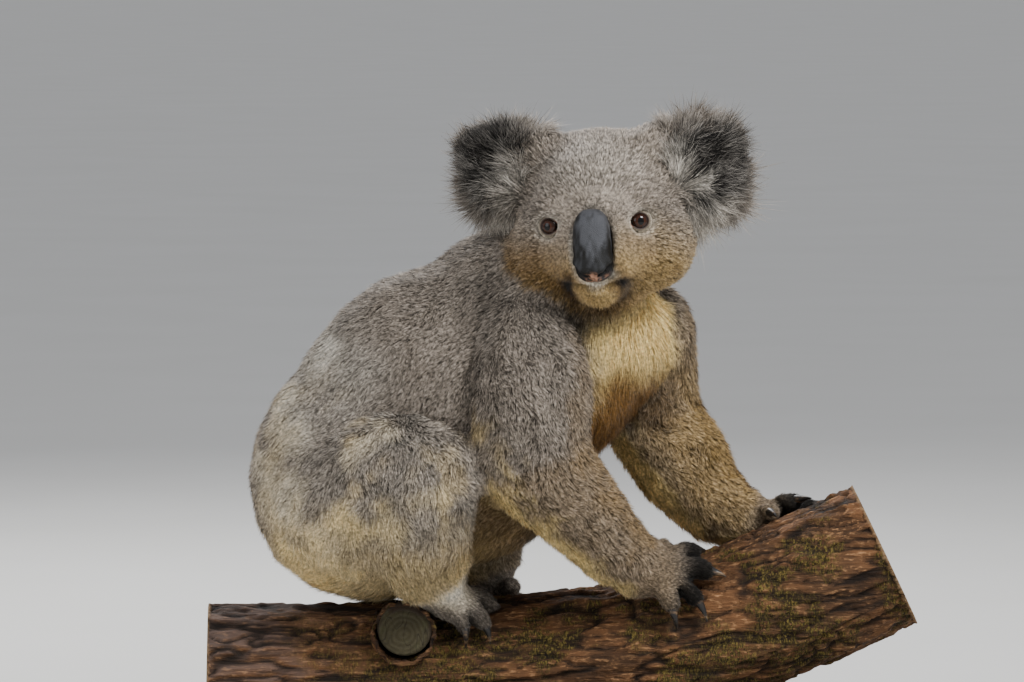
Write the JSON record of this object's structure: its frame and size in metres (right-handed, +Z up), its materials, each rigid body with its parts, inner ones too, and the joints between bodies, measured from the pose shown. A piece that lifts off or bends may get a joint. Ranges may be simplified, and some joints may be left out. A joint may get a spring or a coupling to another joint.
{
  "type": "koala",
  "caption": "Life-size still model of an adult koala that sits and grips a cut length of branch, held up by a plain display stand",
  "frame": {"origin": "the middle of the underside of the stand's base, which is the bottom centre of the whole model", "axes": "+X along the branch, the way the koala faces; +Y from its right side to its left side; +Z up"},
  "size_m": [0.64, 0.33, 0.5696],
  "materials": {
    "coat": "dense short woolly fur, grey with pale and brown areas, cream chest and white ear fringes",
    "nose_leather": "bare slate-black leather with a pinkish patch round the nostrils",
    "eye": "wet brown iris with a dark pupil",
    "claw": "smooth black horn with a tan ridge",
    "bark": "rough brown ridged bark with patches of moss",
    "cut_wood": "weathered sawn end grain with growth rings",
    "stand_board": "satin black painted board",
    "stand_metal": "satin black"
  },
  "bodies": {
    "root": {"head": "coat", "neck": "coat", "trunk": "coat", "ear_right": "coat", "ear_left": "coat", "upper_arm_right": "coat", "upper_arm_left": "coat", "forearm_right": "coat", "forearm_left": "coat", "hand_right": "coat", "hand_left": "coat", "thigh_right": "coat", "thigh_left": "coat", "shank_right": "coat", "shank_left": "coat", "foot_right": "coat", "foot_left": "coat", "eye_right": "eye", "eye_left": "eye", "nose": "nose_leather", "claw_hand_right_1": "claw", "claw_hand_right_2": "claw", "claw_hand_right_3": "claw", "claw_hand_right_4": "claw", "claw_hand_right_5": "claw", "claw_foot_right_2": "claw", "claw_foot_right_3": "claw", "claw_foot_right_4": "claw", "claw_foot_right_5": "claw", "claw_hand_left_1": "claw", "claw_hand_left_2": "claw", "claw_hand_left_3": "claw", "claw_hand_left_4": "claw", "claw_hand_left_5": "claw", "claw_foot_left_2": "claw", "claw_foot_left_3": "claw", "claw_foot_left_4": "claw", "claw_foot_left_5": "claw", "perch_branch": "bark", "perch_knot": "cut_wood", "stand_base": "stand_board", "stand_rod_rear": "stand_metal", "stand_rod_front": "stand_metal"}
  },
  "joints": []
}
